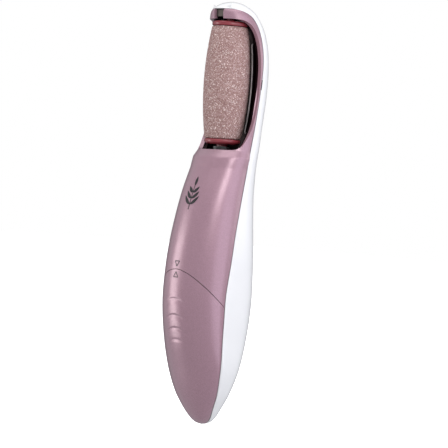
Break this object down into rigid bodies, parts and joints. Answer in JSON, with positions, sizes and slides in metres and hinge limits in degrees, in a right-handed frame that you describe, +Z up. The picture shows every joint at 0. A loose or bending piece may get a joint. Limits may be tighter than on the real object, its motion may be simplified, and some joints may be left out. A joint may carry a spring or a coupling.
{
  "type": "electric callus remover",
  "caption": "Handheld battery callus remover: slim curved handpiece with a motor-driven, barrel-shaped abrasive roller framed in its head, a slide switch and a sliding battery cover.",
  "frame": {"origin": "on the roller's axis at the middle of the hand grip, 60 mm above the handpiece's lower tip", "axes": "+Z up along the roller's axis towards the head, +Y towards the back with the power switch, -Y is the front that the roller faces, +X completes the right-handed set"},
  "size_m": [0.0352, 0.0423, 0.1923],
  "materials": {
    "mauve_paint": "satin metallic lacquer",
    "white_plastic": "gloss",
    "black_plastic": "gloss",
    "grey_plastic": "satin",
    "burgundy_plastic": "satin",
    "mineral_grit": "coarse mineral grit with a slight glitter",
    "felt": "matt",
    "steel": "bright",
    "brass": "bright",
    "ferrite": "matt",
    "acetal": "natural",
    "circuit_board": "solder mask",
    "cell_wrap": "plain printed film",
    "red_lead": "satin",
    "black_lead": "satin"
  },
  "bodies": {
    "handpiece": {"rear_shell": "white_plastic", "front_shell": "mauve_paint", "roller_cradle": "black_plastic", "socket_seal": "felt", "bearing_block": "steel", "socket_spring": "steel", "spindle_bush": "brass", "cluster_pin": "steel", "gear_plate": "black_plastic", "gear_cover": "black_plastic", "gear_screw_1": "steel", "gear_screw_2": "steel", "gear_screw_3": "steel", "motor_can": "steel", "motor_end_cap": "white_plastic", "motor_magnet_left": "ferrite", "motor_magnet_right": "ferrite", "motor_brush_left": "brass", "motor_brush_right": "brass", "circuit_board": "circuit_board", "switch_body": "black_plastic", "battery_carrier": "black_plastic", "battery_left": "cell_wrap", "battery_right": "cell_wrap", "contact_spring_left": "steel", "contact_spring_right": "steel", "contact_plate_left": "steel", "contact_plate_right": "steel", "contact_bridge": "steel", "red_lead": "red_lead", "black_lead": "black_lead"},
    "spindle": {"output_spindle": "steel", "output_gear": "acetal"},
    "roller": {"drive_socket": "grey_plastic", "roller_core": "burgundy_plastic", "abrasive_sleeve": "mineral_grit", "roller_end_cap": "burgundy_plastic"},
    "idler": {"cluster_gear": "acetal"},
    "motor_rotor": {"motor_shaft": "steel", "motor_armature": "brass", "motor_commutator": "brass", "motor_pinion": "acetal"},
    "switch": {"power_button": "grey_plastic", "switch_lever": "acetal"},
    "cover": {"battery_cover": "mauve_paint"}
  },
  "joints": [
    {"name": "roller_spin", "type": "hinge", "parent": "handpiece", "child": "spindle", "pos_m": [0, 0, 0.05], "axis": [0, 0, 1], "continuous": true},
    {"name": "roller_release", "type": "slide", "parent": "spindle", "child": "roller", "axis": [0, 0, -1], "range_m": [0, 0.0017], "stiffness_N_per_m": 400, "springref_m": -0.004, "deforming": ["socket_spring"]},
    {"name": "idler_spin", "type": "hinge", "parent": "handpiece", "child": "idler", "pos_m": [0.00509, -0.00509, 0.05], "axis": [0, 0, 1], "continuous": true},
    {"name": "motor_spin", "type": "hinge", "parent": "handpiece", "child": "motor_rotor", "pos_m": [0, 0, 0.04], "axis": [0, 0, 1], "continuous": true},
    {"name": "power_switch", "type": "slide", "parent": "handpiece", "child": "switch", "axis": [0, 0, 1], "range_m": [0, 0.003]},
    {"name": "battery_cover_slide", "type": "slide", "parent": "handpiece", "child": "cover", "axis": [0, 0, -1], "range_m": [0, 0.012]}
  ],
  "couplings": [
    {"joint": "idler_spin", "follows": "motor_spin", "ratio": -0.5},
    {"joint": "roller_spin", "follows": "motor_spin", "ratio": 0.25}
  ]
}
